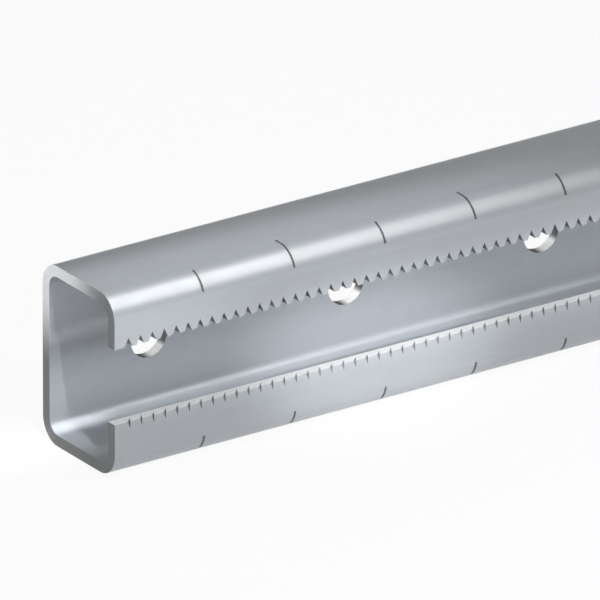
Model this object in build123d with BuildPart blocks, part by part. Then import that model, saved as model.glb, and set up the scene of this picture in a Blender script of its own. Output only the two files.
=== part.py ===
from build123d import *
import os

os.makedirs("parts", exist_ok=True)

# The section: one strip, roll-formed to a C whose lips turn in at the front.
rail_length = 1000.0
rail_height = 41.0
rail_depth = 27.0
gauge = 2.5
inner_radius = 3.0
upper_lip = 11.5
lower_lip = 12.5

# Upright slots punched in the web, in one row along its centre line.
slot_pitch = 50.0
slot_width = 9.0
slot_length = 14.5

# V notches right through the edge of the upper lip. They leave flat-tipped teeth.
tooth_pitch = 3.0
end_to_notch = 3.5
notch_mouth = 1.9
notch_depth = 2.05

# Nicks across the front corner of the lower lip's edge, one for each notch. Each is a right
# triangle on the lip's front, upright on its +X side, and runs out through the edge obliquely.
nick_mouth = 0.8
nick_drop = 1.55
nick_reach = 1.65
nick_lean = 1.0

mid_height = rail_height / 2
front_y = -rail_depth / 2
upper_edge = rail_height - upper_lip
slot_count = int(rail_length / slot_pitch)
notch_count = 1 + round((rail_length - 2 * end_to_notch) / tooth_pitch)

with BuildPart() as mounting_rail:
    with BuildSketch(Plane.YZ):
        with Locations((0, mid_height)):
            RectangleRounded(rail_depth, rail_height, inner_radius + gauge)
            RectangleRounded(
                rail_depth - 2 * gauge, rail_height - 2 * gauge, inner_radius, mode=Mode.SUBTRACT
            )
        # The throat between the lips, cut from the closed tube.
        with Locations((front_y, (lower_lip + upper_edge) / 2)):
            Rectangle(3 * gauge, upper_edge - lower_lip, mode=Mode.SUBTRACT)
    extrude(amount=rail_length / 2, both=True)

    # Plane.XZ stands at mid-depth. From there the slots run back, through the web alone.
    with BuildSketch(Plane.XZ):
        with Locations((0, mid_height)):
            with GridLocations(slot_pitch, 1, slot_count, 1):
                SlotOverall(slot_length, slot_width, rotation=90)
    extrude(amount=-rail_depth, mode=Mode.SUBTRACT)

    # The notches run forward, through the lip alone. Each V is drawn to twice its depth,
    # so that it opens past the edge at the same angle.
    with BuildSketch(Plane.XZ):
        with Locations((0, upper_edge)):
            with GridLocations(tooth_pitch, 1, notch_count, 1):
                Polygon(
                    (0, notch_depth),
                    (-notch_mouth, -notch_depth),
                    (notch_mouth, -notch_depth),
                    align=None,
                )
    extrude(amount=rail_depth, mode=Mode.SUBTRACT)

    # The nicks start on the lip's front. Each triangle is drawn to twice its depth, as the V is.
    with BuildSketch(Plane.XZ.offset(-front_y)):
        with Locations((0, lower_lip)):
            with GridLocations(tooth_pitch, 1, notch_count, 1):
                Polygon(
                    (nick_mouth / 2, -nick_drop),
                    (nick_mouth / 2, nick_drop),
                    (-1.5 * nick_mouth, nick_drop),
                    align=None,
                )
    oblique = Vector(nick_lean, nick_reach, nick_drop)
    extrude(amount=2 * oblique.length, dir=oblique, mode=Mode.SUBTRACT)

mounting_rail.part.label = "mounting_rail"
export_step(mounting_rail.part, "parts/mounting_rail.step")
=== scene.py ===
import math

import bpy
from mathutils import Matrix, Vector


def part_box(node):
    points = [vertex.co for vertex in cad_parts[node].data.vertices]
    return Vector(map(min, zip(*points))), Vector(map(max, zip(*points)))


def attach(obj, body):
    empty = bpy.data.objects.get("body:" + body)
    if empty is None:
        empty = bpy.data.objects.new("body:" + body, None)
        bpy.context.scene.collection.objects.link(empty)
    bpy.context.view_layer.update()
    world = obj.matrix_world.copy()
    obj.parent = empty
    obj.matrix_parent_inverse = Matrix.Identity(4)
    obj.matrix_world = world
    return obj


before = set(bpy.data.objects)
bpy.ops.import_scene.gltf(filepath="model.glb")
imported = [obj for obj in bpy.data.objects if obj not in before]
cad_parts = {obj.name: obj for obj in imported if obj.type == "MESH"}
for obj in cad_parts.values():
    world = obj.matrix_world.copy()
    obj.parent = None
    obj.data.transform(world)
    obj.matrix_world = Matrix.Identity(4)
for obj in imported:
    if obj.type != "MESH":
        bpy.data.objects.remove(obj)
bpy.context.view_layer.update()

# The rail itself: one strip of zinc-coated steel, roll-formed to a C. The slots and notches are
# punched and the ends sawn after the coating, so those faces show bare steel. The solid's shape
# is right as it is, so it only gets its finish here.
RAIL_BODY = "root"
END_X = 0.5
BACK_Y = 0.0135
GAUGE = 0.0025

# How near to the end a sawn face is, the heights between which the other bare faces lie, and
# how far in front of the back the web reaches, with a little over.
SAWN_WITHIN = 0.0002
SLOT_HEIGHTS = (0.012, 0.029)
LIP_EDGE_HEIGHTS = (0.0115, 0.0130)
NICK_HEIGHTS = (0.0100, 0.0135)
WEB_REACH = 1.04 * GAUGE

# How squarely a face looks along an axis, from 0 to 1, at which it counts as a notch's flank, as
# the end, as the web's own face or as the slit edge.
FLANK_FACING = 0.25
END_FACING = 0.7
WEB_FACING = 0.5
EDGE_FACING = 0.9

# A slot's wall goes from painted shade to a painted highlight while the X of its normal goes
# from the first of these to the second, down or up.
HIGHLIGHT_ON_WAY_DOWN = (0.25, -0.30)
HIGHLIGHT_ON_WAY_UP = (-0.93, -0.74)

ZINC = (0.362, 0.388, 0.417, 1.0)
# The sawn, notched, nicked, wall and slit tones are partly bare steel and partly painted light
# and shade.
SAWN_STEEL_AND_SHADE = (0.125, 0.132, 0.138, 1.0)
NOTCHED_STEEL_AND_SHADE = (0.075, 0.08, 0.083, 1.0)
NICKED_STEEL_AND_LIGHT = (0.48, 0.50, 0.52, 1.0)
PAINTED_SHADE_WALL_STEEL = (0.03, 0.03, 0.032, 1.0)
PAINTED_HIGHLIGHT_WALL_STEEL = (0.95, 0.96, 0.97, 1.0)
SLIT_STEEL_AND_HIGHLIGHT = (0.84, 0.86, 0.88, 1.0)
ZINC_METAL = 0.24
ZINC_ROUGH = 0.37
BARE_ROUGHER = 0.06

# How fine the patterns are, to the metre, and along X, Y and Z where they are drawn out.
CRYSTALS = 420.0
CLOUDS = 45.0
GRAIN = 2600.0
ROLLED_LINES = (14.0, 900.0, 900.0)
SAW_LINES = (1.0, 5000.0, 260.0)
PUNCH_LINES = (4000.0, 300.0, 4000.0)

# How much each pattern changes the tone and the roughness, and how far the relief stands up.
CRYSTAL_TONE = 0.03
STREAK_TONE = 0.07
CLOUD_TONE = 0.06
CUT_TONE = 0.30
CRYSTAL_ROUGH = 0.06
STREAK_ROUGH = 0.10
RELIEF = 0.00004


class Wire:
    """An output socket of a material's nodes. Sums on it add Math nodes."""

    def __init__(self, tree, socket=None):
        self.tree = tree
        self.socket = socket

    def node(self, kind, settings, inputs, output=0):
        """Adds a node: first its settings, then the value or the link of each socket named."""
        made = self.tree.nodes.new(kind)
        for name, value in settings.items():
            setattr(made, name, value)
        for name, value in inputs.items():
            if isinstance(value, Wire):
                self.tree.links.new(value.socket, made.inputs[name])
            else:
                made.inputs[name].default_value = value
        return Wire(self.tree, made.outputs[output])

    def other(self, output):
        """Another output of the node that this one comes from."""
        return Wire(self.tree, self.socket.node.outputs[output])

    def math(self, operation, *values):
        return self.node("ShaderNodeMath", {"operation": operation}, dict(enumerate(values)))

    def within(self, low, high):
        """1 between low and high, and 0 outside them."""
        return (self > low) * (self < high)

    def between(self, low, high):
        """0 at low, 1 at high, and smooth from one to the other."""
        return self.node(
            "ShaderNodeMapRange",
            {"interpolation_type": "SMOOTHSTEP"},
            {"Value": self, "From Min": low, "From Max": high},
        )

    def mix_colour(self, first, second):
        """The first colour where this is 0, the second where it is 1."""
        return self.node(
            "ShaderNodeMix", {"data_type": "RGBA"}, {0: self, 6: first, 7: second}, output=2
        )

    def shaded(self, tone):
        """This colour, lighter or darker by a tone."""
        return self.node(
            "ShaderNodeMix",
            {"data_type": "RGBA", "blend_type": "MULTIPLY"},
            {0: 1.0, 6: self, 7: tone},
            output=2,
        )

    def stretched(self, scales):
        return self.node(
            "ShaderNodeVectorMath", {"operation": "MULTIPLY"}, {0: self, 1: scales}
        )

    def noise(self, scale, detail):
        return self.node(
            "ShaderNodeTexNoise", {}, {"Vector": self, "Scale": scale, "Detail": detail}
        )

    def feed(self, shader, name):
        self.tree.links.new(self.socket, shader.inputs[name])

    def __abs__(self):
        return self.math("ABSOLUTE", self)

    def __add__(self, other):
        return self.math("ADD", self, other)

    __radd__ = __add__

    def __sub__(self, other):
        return self.math("SUBTRACT", self, other)

    def __rsub__(self, other):
        return self.math("SUBTRACT", other, self)

    def __mul__(self, other):
        return self.math("MULTIPLY", self, other)

    __rmul__ = __mul__

    def __gt__(self, other):
        return self.math("GREATER_THAN", self, other)

    def __lt__(self, other):
        return self.math("LESS_THAN", self, other)


def zinc_strip():
    """Rolled, zinc-coated strip, with the bare steel of its sawn and punched faces, partly
    painted with light and shade.
    """
    material = bpy.data.materials.new("zinc_coated_strip")
    material.use_nodes = True
    tree = material.node_tree
    shader = tree.nodes["Principled BSDF"]
    place = Wire(tree).node("ShaderNodeTexCoord", {}, {}, output="Object")
    normal = place.other("Normal")
    facing_x = normal.node("ShaderNodeSeparateXYZ", {}, {"Vector": normal})
    facing_y = facing_x.other("Y")
    facing_z = facing_x.other("Z")
    along = place.node("ShaderNodeSeparateXYZ", {}, {"Vector": place})
    depth = along.other("Y")
    height = along.other("Z")

    # Where steel is bare. A face that looks along the rail, however slightly, is a cut one: an
    # end, or the flank of a notch or a nick. The slots' walls and the lower lip's slit edge are
    # told by their place too, because parts of them look up or down.
    cut_across = abs(facing_x) > FLANK_FACING
    at_end = abs(along) > END_X - SAWN_WITHIN
    sawn = at_end * (abs(facing_x) > END_FACING)
    in_web = depth > BACK_Y - WEB_REACH
    through_web = (1.0 - at_end) * (abs(facing_y) < WEB_FACING)
    slot_wall = in_web * through_web * height.within(*SLOT_HEIGHTS)
    in_front = depth < 0.0
    lip_edge = in_front * (facing_z > EDGE_FACING) * height.within(*LIP_EDGE_HEIGHTS)
    nick = in_front * cut_across * height.within(*NICK_HEIGHTS)
    bare = sawn.math("MAXIMUM", cut_across, slot_wall + lip_edge)

    # The coat: faint crystals of zinc, streaks that the rolls drew out along the strip, and
    # wide clouds.
    crystals = place.node(
        "ShaderNodeTexVoronoi",
        {"feature": "F1"},
        {"Vector": place, "Scale": CRYSTALS},
        output="Color",
    )
    crystal = crystals.node("ShaderNodeSeparateColor", {}, {"Color": crystals})
    other_crystal = crystal.other("Green")
    streaks = place.stretched(ROLLED_LINES).noise(1.0, 3.0)
    clouds = place.noise(CLOUDS, 4.0)
    tone = 1.0 + CRYSTAL_TONE * (crystal - 0.5) + STREAK_TONE * (streaks - 0.5)
    tone = tone + CLOUD_TONE * (clouds - 0.5)

    # The saw's fine upright lines on the ends, and the punch's lines along the cut walls.
    saw_lines = place.stretched(SAW_LINES).noise(1.0, 2.0)
    punch_lines = place.stretched(PUNCH_LINES).noise(1.0, 2.0)
    cut_tone = 1.0 + CUT_TONE * (sawn.mix_colour(punch_lines, saw_lines) - 0.5)

    # The tones of the cut faces follow the photo, and are partly bare steel and partly painted
    # light
    # and shade: the ends are dull with painted shade, the notches darker still with painted
    # shade, and the nicks lighter with painted light. In a slot, the walls of both curves carry
    # a painted highlight where they look to low X and painted shade elsewhere, and the slit edge
    # carries a painted highlight.
    notch_and_nick_painted_light = nick.mix_colour(NOTCHED_STEEL_AND_SHADE, NICKED_STEEL_AND_LIGHT)
    highlight_towards_low_x = facing_x.between(*HIGHLIGHT_ON_WAY_DOWN)
    painted_highlight_curve = highlight_towards_low_x * facing_x.between(*HIGHLIGHT_ON_WAY_UP)
    # A slot's walls: a painted highlight on the curves that look to low X, and painted shade
    # elsewhere.
    slot_painted_light_and_shade = painted_highlight_curve.mix_colour(PAINTED_SHADE_WALL_STEEL, PAINTED_HIGHLIGHT_WALL_STEEL)
    cut_steel_and_painted_light = slot_wall.mix_colour(sawn.mix_colour(notch_and_nick_painted_light, SAWN_STEEL_AND_SHADE), slot_painted_light_and_shade)
    # The slit edge is bare steel with a painted highlight.
    cut_steel_and_painted_light = lip_edge.mix_colour(cut_steel_and_painted_light, SLIT_STEEL_AND_HIGHLIGHT)
    colour = bare.mix_colour(ZINC, cut_steel_and_painted_light)
    colour.shaded(bare.mix_colour(tone, cut_tone)).feed(shader, "Base Color")

    # Bare steel is a little rougher than the coat, and the slots' walls and the slit edge look
    # chalky rather than metallic.
    rough = ZINC_ROUGH + CRYSTAL_ROUGH * (other_crystal - 0.5) + STREAK_ROUGH * (streaks - 0.5)
    rough = rough + BARE_ROUGHER * bare
    rough.feed(shader, "Roughness")
    metal = ZINC_METAL * (1.0 - (lip_edge + slot_wall))
    metal.feed(shader, "Metallic")
    shader.inputs["Specular IOR Level"].default_value = 1.0

    relief = 0.6 * streaks + 0.25 * place.noise(GRAIN, 2.0) + 0.15 * crystal
    bump = relief.node(
        "ShaderNodeBump", {}, {"Height": relief, "Strength": 0.25, "Distance": RELIEF}
    )
    bump.feed(shader, "Normal")
    return material


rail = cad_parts["mounting_rail"]
for rail_slot in rail.material_slots:
    rail_slot.material = zinc_strip()

# The graduation: short and long marks by turns on the upper front bend, and short ones on the
# lower bend. Each is a thin line of dark grey ink, rolled on after the strip was formed.
MARK_PITCH = 0.0230
FIRST_MARK = 0.0225
MARK_WIDTH = 0.00048
MARK_THICKNESS = 0.00014
MARK_STANDS_OUT = 0.00004
MARK_STEPS = 12
BEND_RADIUS = 0.0055

# Degrees round the bend, from the top over the front and down.
UPPER_FROM = 15.0
UPPER_TO = 71.0
LOWER_FROM = 100.0
LOWER_TO = 137.0
LONG_ON_FLAT = 0.0018

# How far each step of a rounded end goes, and what share of the width it keeps. Two areas or
# places are the same within the limits after it.
ROUND_STEPS = ((0.00010, 0.85), (0.00008, 0.55))
SAME_AREA = 1e-10
SAME_PLACE = 1e-6
INK = (0.055, 0.058, 0.060, 1.0)
WORN_INK = (0.16, 0.17, 0.175, 1.0)
WORN_PATCHES = 2200.0
WORN_BETWEEN = (0.45, 0.80)
INK_ROUGH = 0.55

rail_low, rail_high = (Vector(corner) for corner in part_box("mounting_rail"))
mark_count = int((rail_high.x - rail_low.x) / MARK_PITCH)
bend_y = rail_low.y + BEND_RADIUS
upper_bend = Vector((rail_low.x + FIRST_MARK, bend_y, rail_high.z - BEND_RADIUS))
lower_bend = Vector((rail_low.x + FIRST_MARK, bend_y, rail_low.z + BEND_RADIUS))
one_pitch = Vector((MARK_PITCH, 0.0, 0.0))


def curved_mark(name, centre, start, end, flat=0.0):
    """One line of ink round a bend. A flat part goes on back over the top from its start."""
    bpy.ops.object.select_all(action="DESELECT")
    turn = math.radians(start)
    middle = BEND_RADIUS + MARK_STANDS_OUT - MARK_THICKNESS / 2
    bpy.ops.mesh.primitive_plane_add(
        size=MARK_WIDTH,
        location=centre + middle * Vector((0.0, -math.sin(turn), math.cos(turn))),
        rotation=(math.pi / 2 + turn, 0.0, 0.0),
    )
    mark = bpy.context.object
    mark.name = name
    mark.scale = (1.0, MARK_THICKNESS / MARK_WIDTH, 1.0)
    bpy.ops.object.transform_apply(location=True, rotation=True, scale=True)
    bpy.ops.object.mode_set(mode="EDIT")
    bpy.ops.mesh.select_all(action="SELECT")
    bpy.ops.mesh.spin(
        steps=MARK_STEPS,
        angle=math.radians(end - start),
        center=centre,
        axis=(-1.0, 0.0, 0.0),
    )
    if flat:
        select_faces(mark, lambda face: face.normal.y > 0.99)
        bpy.ops.mesh.extrude_region_move(TRANSFORM_OT_translate={"value": (0.0, flat, 0.0)})
    bpy.ops.object.mode_set(mode="OBJECT")
    round_ends(mark)
    bpy.ops.mesh.select_all(action="SELECT")
    bpy.ops.mesh.normals_make_consistent(inside=False)
    bpy.ops.object.mode_set(mode="OBJECT")
    return mark


def select_faces(piece, wanted):
    """Leaves edit mode to select the faces that are wanted, and goes back to it."""
    bpy.ops.object.mode_set(mode="OBJECT")
    for face in piece.data.polygons:
        face.select = wanted(face)
    bpy.ops.object.mode_set(mode="EDIT")


def round_ends(mark):
    """Draws a line's two ends out a little, narrower each time, so that they look round."""
    end_area = MARK_WIDTH * MARK_THICKNESS
    ends = [
        (face.center.copy(), face.normal.copy())
        for face in mark.data.polygons
        if abs(face.area - end_area) < SAME_AREA
    ]
    for middle, outward in ends:
        select_faces(mark, lambda face: (face.center - middle).length < SAME_PLACE)
        for reach, share in ROUND_STEPS:
            middle = middle + reach * outward
            bpy.ops.mesh.extrude_region_move(TRANSFORM_OT_translate={"value": reach * outward})
            bpy.ops.transform.resize(value=(share, 1.0, 1.0), center_override=middle)


def ink():
    """Dark grey ink, worn a little thin in places, so that its tone is uneven."""
    material = bpy.data.materials.new("mark_ink")
    material.use_nodes = True
    tree = material.node_tree
    shader = tree.nodes["Principled BSDF"]
    place = Wire(tree).node("ShaderNodeTexCoord", {}, {}, output="Object")
    worn = place.noise(WORN_PATCHES, 3.0)
    worn.between(*WORN_BETWEEN).mix_colour(INK, WORN_INK).feed(shader, "Base Color")
    rough = INK_ROUGH + 0.2 * (worn - 0.5)
    rough.feed(shader, "Roughness")
    return material


mark_ink = ink()
upper_short = curved_mark("upper_short_marks", upper_bend, UPPER_FROM, UPPER_TO)
upper_long = curved_mark(
    "upper_long_marks", upper_bend + one_pitch, 0.0, UPPER_TO, flat=LONG_ON_FLAT
)
lower_marks = curved_mark("lower_marks", lower_bend, LOWER_FROM, LOWER_TO)
for mark, step, count in (
    (upper_short, 2 * MARK_PITCH, (mark_count + 1) // 2),
    (upper_long, 2 * MARK_PITCH, mark_count // 2),
    (lower_marks, MARK_PITCH, mark_count),
):
    bpy.ops.object.select_all(action="DESELECT")
    mark.select_set(True)
    bpy.context.view_layer.objects.active = mark
    row = mark.modifiers.new("row", "ARRAY")
    row.count = count
    row.use_relative_offset = False
    row.use_constant_offset = True
    row.constant_offset_displace = (step, 0.0, 0.0)
    bpy.ops.object.modifier_apply(modifier=row.name)
    mark.data.materials.append(mark_ink)
    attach(mark, RAIL_BODY)

# The camera. A very long lens from the left front and above, so that the rail's edges stay
# parallel, framed on the first seventh of the rail.
VIEW_AZIMUTH = -34.22
VIEW_ELEVATION = 23.15
VIEW_POINT = Vector((-0.45332, -0.0135, 0.02973))
VIEW_DISTANCE = 5.5753
LENS = 1600.0
SENSOR = 36.0


def direction_to(azimuth, elevation):
    """Which way a camera or lamp lies, in degrees: from the front round to the right, and up."""
    turn = math.radians(azimuth)
    rise = math.radians(elevation)
    return Vector((
        math.sin(turn) * math.cos(rise),
        -math.cos(turn) * math.cos(rise),
        math.sin(rise),
    ))


towards_camera = direction_to(VIEW_AZIMUTH, VIEW_ELEVATION)
camera_data = bpy.data.cameras.new("camera")
camera_data.lens = LENS
camera_data.sensor_width = SENSOR
camera_data.clip_start = 0.1
camera_data.clip_end = 60.0
camera = bpy.data.objects.new("camera", camera_data)
camera.location = VIEW_POINT + towards_camera * VIEW_DISTANCE
camera.rotation_mode = "QUATERNION"
camera.rotation_quaternion = (-towards_camera).to_track_quat("-Z", "Y")
bpy.context.scene.collection.objects.link(camera)
bpy.context.scene.camera = camera
bpy.context.scene.view_settings.view_transform = "Standard"

# The floor: one wide sheet of matt white board, which carries the rail's shadow. Most of its
# white is a glow that only the camera and polished faces see, and the rest is painted board.
FLOOR_SIDE = 14.0
FLOOR_COLOUR = (0.93, 0.93, 0.93, 1.0)
FLOOR_ROUGH = 0.9
FLOOR_GLOW = 0.92
WHITE = (1.0, 1.0, 1.0, 1.0)

bpy.ops.object.select_all(action="DESELECT")
bpy.ops.mesh.primitive_plane_add(size=FLOOR_SIDE, location=(0, 0, 0))
floor = bpy.context.object
floor.name = "floor"
floor_paint = bpy.data.materials.new("floor_board")
floor_paint.use_nodes = True
floor_nodes = floor_paint.node_tree.nodes
board = floor_nodes["Principled BSDF"]
board.inputs["Base Color"].default_value = FLOOR_COLOUR
board.inputs["Roughness"].default_value = FLOOR_ROUGH
board.inputs["Specular IOR Level"].default_value = 0.0
painted = Wire(floor_paint.node_tree, board.outputs["BSDF"])
seen = painted.node("ShaderNodeLightPath", {}, {}, output="Is Camera Ray")
mirrored = seen.math("MAXIMUM", seen.other("Is Glossy Ray"), seen.other("Is Transmission Ray"))
glow = seen.node("ShaderNodeEmission", {}, {"Color": WHITE, "Strength": 1.0})
glow_share = FLOOR_GLOW * seen.math("MAXIMUM", seen, mirrored)
board_and_glow = seen.node("ShaderNodeMixShader", {}, {0: glow_share, 1: painted, 2: glow})
board_and_glow.feed(floor_nodes["Material Output"], "Surface")
floor.data.materials.append(floor_paint)

# The light: a dim pale room, darkest overhead, three soft boxes, and seven spots with small or
# narrow pools of light, all aimed near the end at low X. The pools follow the tones of the photo
# and fade out along the rail, which is lit more plainly past them.
ROOM_LEVEL = 0.30
ROOM_LEAST = 0.05
KEY_COLOUR = (1.0, 0.98, 0.95)

# How the room's light changes towards X, Y and Z.
ROOM_SLOPE = (0.02, -0.03, -0.22)

world = bpy.data.worlds.new("room")
world.use_nodes = True
world_background = world.node_tree.nodes["Background"]
world_background.inputs["Color"].default_value = WHITE
direction = Wire(world.node_tree).node("ShaderNodeTexCoord", {}, {}, output="Generated")
slope = direction.node(
    "ShaderNodeVectorMath",
    {"operation": "DOT_PRODUCT"},
    {0: direction, 1: ROOM_SLOPE},
    output="Value",
)
slope.math("MAXIMUM", ROOM_LEVEL + slope, ROOM_LEAST).feed(world_background, "Strength")
bpy.context.scene.world = world


def place_lamp(name, data, aim, azimuth, elevation, distance):
    """Hangs a lamp so that it looks at a point, with its width as near along X as it can be."""
    back = direction_to(azimuth, elevation)
    across = (Vector((1, 0, 0)) - back * back.x).normalized()
    turned = Matrix((across, back.cross(across), back)).transposed()
    lamp = bpy.data.objects.new(name, data)
    lamp.location = Vector(aim) + back * distance
    lamp.rotation_mode = "QUATERNION"
    lamp.rotation_quaternion = turned.to_quaternion()
    bpy.context.scene.collection.objects.link(lamp)
    lamp.visible_camera = False
    return lamp


def soft_box(name, aim, azimuth, elevation, distance, width, height, level):
    """A wide soft lamp, its width along the rail. Its level is its brightness next to white."""
    data = bpy.data.lights.new(name, "AREA")
    data.shape = "RECTANGLE"
    data.size = width
    data.size_y = height
    data.energy = level * math.pi * width * height
    return place_lamp(name, data, aim, azimuth, elevation, distance)


def soft_spot(name, aim, azimuth, elevation, distance, reach, level, stretch=1.0, blur=0.25):
    """A lamp whose pool of light fades out to its rim. Its level is that of white in its middle.
    The pool's reach can be stretched along the rail, and its blur is the lamp's own size."""
    data = bpy.data.lights.new(name, "SPOT")
    data.spot_size = 2 * math.atan(reach / distance)
    data.spot_blend = 1.0
    data.shadow_soft_size = blur * reach
    data.energy = level * (2 * math.pi * distance) ** 2
    lamp = place_lamp(name, data, aim, azimuth, elevation, distance)
    lamp.scale = (stretch, 1.0, 1.0)
    return lamp


# The box in front lights the lips and the web. The key makes the bright line along the upper
# bend, and is a little warm. The box behind lights the web's back and the slots' walls.
soft_box(
    "front_lamp", aim=(-0.53, -0.01, 0.02), azimuth=-12.0, elevation=19.0, distance=0.40,
    width=0.28, height=0.26, level=2.4,
)
key = soft_box(
    "key_lamp", aim=(-0.50, -0.008, 0.036), azimuth=52.5, elevation=48.0, distance=0.32,
    width=0.10, height=0.30, level=6.15,
)
key.data.color = KEY_COLOUR
soft_box(
    "rear_lamp", aim=(0.0, 0.0, 0.02), azimuth=214.0, elevation=20.0, distance=1.1,
    width=1.1, height=0.50, level=1.9,
)

# The front half of the top, and the upper part of the sawn end.
soft_spot(
    "top_spot", aim=(-0.49, -0.0065, 0.0410), azimuth=-20.0, elevation=65.0, distance=0.6,
    reach=0.0140, level=0.76, stretch=9.0,
)
soft_spot(
    "end_spot", aim=(-0.50, 0.0125, 0.0400), azimuth=-90.0, elevation=-2.0, distance=0.5,
    reach=0.0205, level=4.8,
)

# The upper lip near the end, the middle of the lower lip, and the web between the lips.
soft_spot(
    "lip_spot", aim=(-0.496, -0.0135, 0.0325), azimuth=-3.0, elevation=12.0, distance=0.15,
    reach=0.0030, level=0.85, stretch=13.0, blur=1.7,
)
soft_spot(
    "middle_spot", aim=(-0.434, -0.0135, 0.0120), azimuth=-31.0, elevation=23.0, distance=0.7,
    reach=0.022, level=1.0, stretch=1.5,
)
soft_spot(
    "web_spot", aim=(-0.385, -0.0122, 0.0208), azimuth=-8.0, elevation=22.0, distance=0.6,
    reach=0.0110, level=0.78, stretch=20.0,
)

# The inside of the lower rear bend, and that bend's corner at the end.
soft_spot(
    "bend_spot", aim=(-0.430, 0.0095, 0.0029), azimuth=-35.0, elevation=33.0, distance=0.3,
    reach=0.0026, level=0.90, stretch=56.0,
)
soft_spot(
    "corner_spot", aim=(-0.4950, 0.0097, 0.0031), azimuth=-8.0, elevation=33.0, distance=0.17,
    reach=0.0015, level=1.25, stretch=8.0,
)
